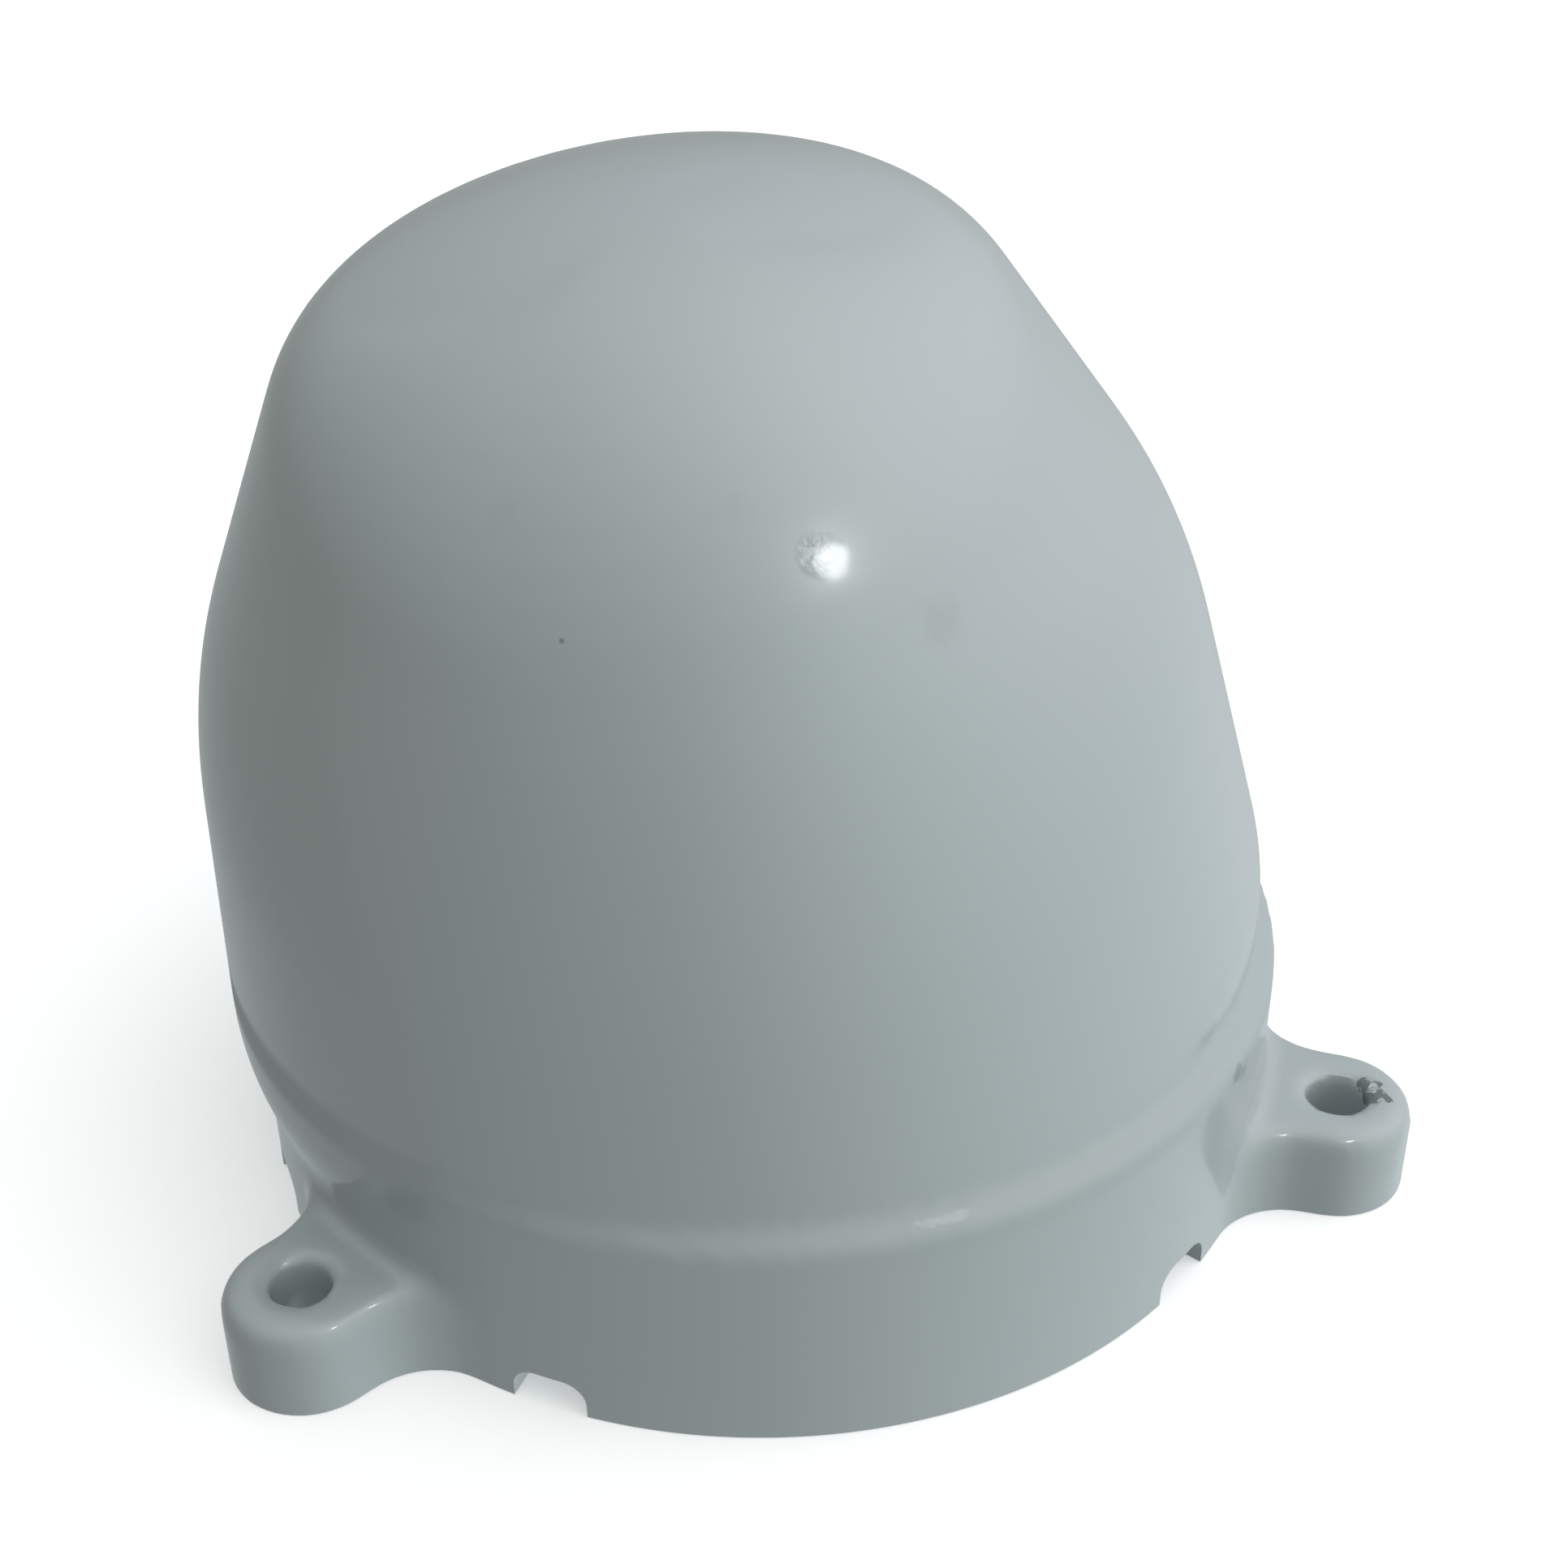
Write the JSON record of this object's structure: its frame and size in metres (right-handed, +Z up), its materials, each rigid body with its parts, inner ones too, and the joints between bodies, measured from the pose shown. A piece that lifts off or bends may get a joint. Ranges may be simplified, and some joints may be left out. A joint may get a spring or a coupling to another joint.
{
  "type": "radar dome antenna",
  "caption": "Leaning gloss radome on a ring with drilled mounting ears, over a geared turntable that carries a tilting flat antenna.",
  "frame": {"origin": "centre of the mounting hole circle, on the face that rests on the roof or mast", "axes": "+Z up out of the mounting face; +X towards one ear; the dome leans towards the ear at 240 degrees"},
  "size_m": [0.189, 0.1818, 0.1528],
  "materials": {
    "gloss_paint": "gloss paint on moulded plastic",
    "plate_plastic": "satin moulded",
    "seal_rubber": "matt",
    "stainless": "satin",
    "cast_aluminium": "cast and machined",
    "bronze": "sintered",
    "motor_steel": "plated",
    "shaft_steel": "ground",
    "brass": "machined",
    "board_green": "solder resist",
    "tin_plate": "tin plate",
    "black_plastic": "satin",
    "ivory_plastic": "satin",
    "gold_plate": "polished",
    "nickel_plate": "plated",
    "spring_steel": "blued",
    "anodised": "satin anodised",
    "acetal": "satin",
    "board_white": "laminate",
    "copper": "bare copper"
  },
  "bodies": {
    "housing": {"azimuth_motor": "motor_steel", "azimuth_motor_screws": "stainless", "base_gasket": "seal_rubber", "base_plate": "plate_plastic", "base_screws": "stainless", "bearing_pedestal": "cast_aluminium", "board_capacitors": "black_plastic", "board_header": "ivory_plastic", "board_screws": "stainless", "board_standoffs": "brass", "cable_connector": "nickel_plate", "connector_nut": "nickel_plate", "connector_seal": "seal_rubber", "dome_shell": "gloss_paint", "index_sensor": "black_plastic", "lower_bush": "bronze", "main_board": "board_green", "pedestal_screws": "stainless", "shield_can": "tin_plate", "slip_ring_stator": "black_plastic", "upper_bush": "bronze", "vent_plug": "black_plastic"},
    "azimuth_drive": {"azimuth_motor_shaft": "shaft_steel", "azimuth_pinion": "brass"},
    "turntable": {"main_shaft": "shaft_steel", "thrust_washer": "bronze", "shaft_nut": "stainless", "retaining_ring": "spring_steel", "turntable_plate": "anodised", "driven_gear": "acetal", "gear_screws": "stainless", "antenna_yoke": "anodised", "yoke_screws": "stainless", "tilt_motor_saddle": "cast_aluminium", "saddle_screws": "stainless", "tilt_motor": "motor_steel", "slip_ring_rotor": "gold_plate", "index_magnet": "nickel_plate"},
    "antenna": {"antenna_tray": "anodised", "array_board": "board_white", "array_patches": "copper", "tray_screws": "stainless", "tilt_pins": "shaft_steel", "tilt_sector": "brass", "sector_screws": "stainless", "feed_coupler": "gold_plate"},
    "tilt_drive": {"tilt_motor_shaft": "shaft_steel", "tilt_pinion": "brass"}
  },
  "joints": [
    {"name": "azimuth_turn", "type": "hinge", "parent": "housing", "child": "turntable", "pos_m": [0, 0, 0.0381], "axis": [0, 0, 1], "continuous": true},
    {"name": "azimuth_pinion_spin", "type": "hinge", "parent": "housing", "child": "azimuth_drive", "pos_m": [0.04415, 0, 0.026], "axis": [0, 0, 1], "continuous": true},
    {"name": "antenna_tilt", "type": "hinge", "parent": "turntable", "child": "antenna", "pos_m": [0, 0, 0.0751], "axis": [-1, 0, 0], "range_deg": [-10, 40]},
    {"name": "tilt_pinion_spin", "type": "hinge", "parent": "turntable", "child": "tilt_drive", "pos_m": [0.022, 0.01849, 0.05661], "axis": [-1, 0, 0], "range_deg": [-140, 40]}
  ],
  "couplings": [
    {"joint": "azimuth_pinion_spin", "follows": "azimuth_turn", "ratio": -4.5},
    {"joint": "tilt_pinion_spin", "follows": "antenna_tilt", "ratio": -3.3333}
  ]
}
